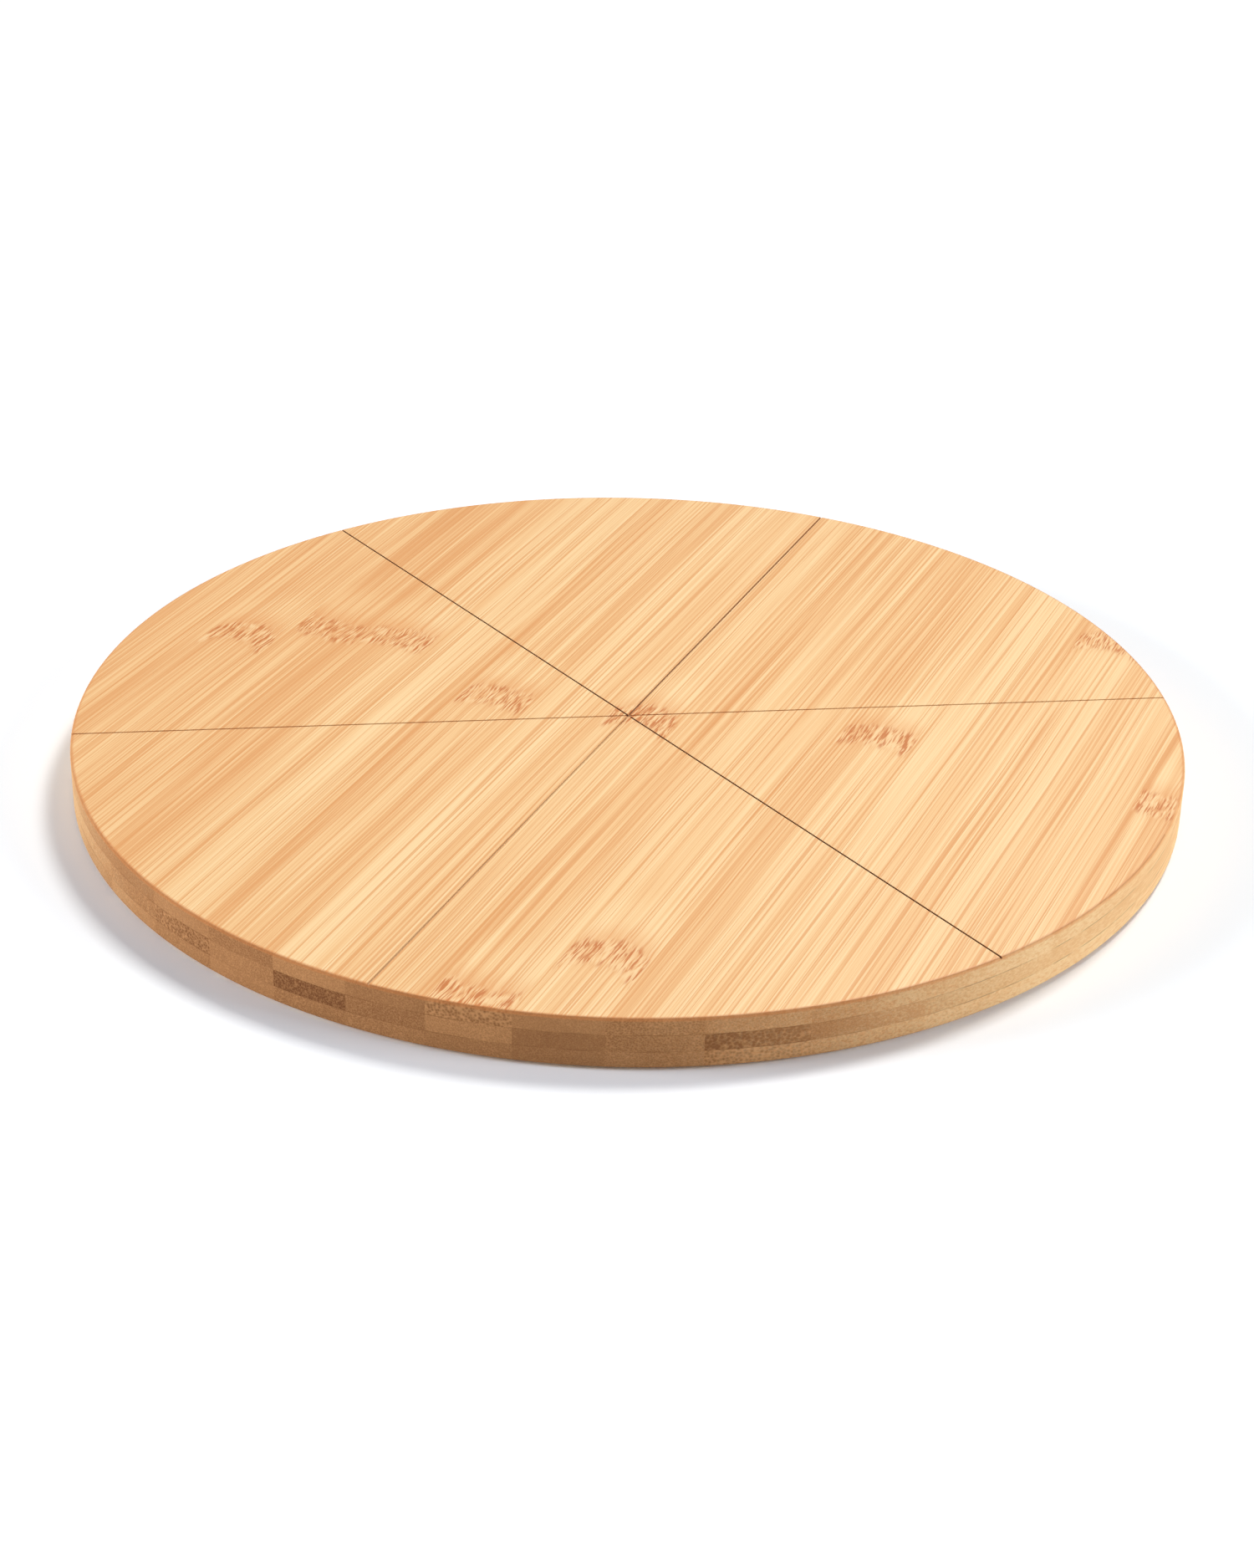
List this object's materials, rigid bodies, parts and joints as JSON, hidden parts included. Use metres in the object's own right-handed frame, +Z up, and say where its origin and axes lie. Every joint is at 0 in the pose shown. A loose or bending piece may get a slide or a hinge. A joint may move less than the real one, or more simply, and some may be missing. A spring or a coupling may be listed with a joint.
{
  "type": "lazy susan turntable",
  "caption": "Round bamboo serving board, scored into portions, that turns on a slim ball bearing recessed in its underside.",
  "frame": {"origin": "on the table, under the centre of the board", "axes": "+Z up along the turning axis, Y along the bamboo's grain and the first score line"},
  "size_m": [0.35, 0.35, 0.0169],
  "materials": {
    "bamboo": "oiled, smooth sanded",
    "race_aluminium": "turned, satin",
    "screw_steel": "zinc plated",
    "ball_steel": "polished bearing steel",
    "retainer_nylon": "moulded, matte",
    "foot_rubber": "matte"
  },
  "bodies": {
    "base": {"outer_race": "race_aluminium", "foot_01": "foot_rubber", "foot_02": "foot_rubber", "foot_03": "foot_rubber", "foot_04": "foot_rubber"},
    "ball_cage": {"ball_retainer": "retainer_nylon", "ball_01": "ball_steel", "ball_02": "ball_steel", "ball_03": "ball_steel", "ball_04": "ball_steel", "ball_05": "ball_steel", "ball_06": "ball_steel", "ball_07": "ball_steel", "ball_08": "ball_steel", "ball_09": "ball_steel", "ball_10": "ball_steel", "ball_11": "ball_steel", "ball_12": "ball_steel", "ball_13": "ball_steel", "ball_14": "ball_steel", "ball_15": "ball_steel", "ball_16": "ball_steel", "ball_17": "ball_steel", "ball_18": "ball_steel", "ball_19": "ball_steel", "ball_20": "ball_steel"},
    "tabletop": {"top_ply": "bamboo", "core_ply": "bamboo", "bottom_ply": "bamboo", "inner_race": "race_aluminium", "race_screw_01": "screw_steel", "race_screw_02": "screw_steel", "race_screw_03": "screw_steel", "race_screw_04": "screw_steel"}
  },
  "joints": [
    {"name": "table_spin", "type": "hinge", "parent": "base", "child": "tabletop", "pos_m": [0, 0, 0.00525], "axis": [0, 0, 1], "continuous": true},
    {"name": "cage_spin", "type": "hinge", "parent": "base", "child": "ball_cage", "pos_m": [0, 0, 0.00525], "axis": [0, 0, 1], "continuous": true}
  ],
  "couplings": [
    {"joint": "cage_spin", "follows": "table_spin", "ratio": 0.47596}
  ]
}
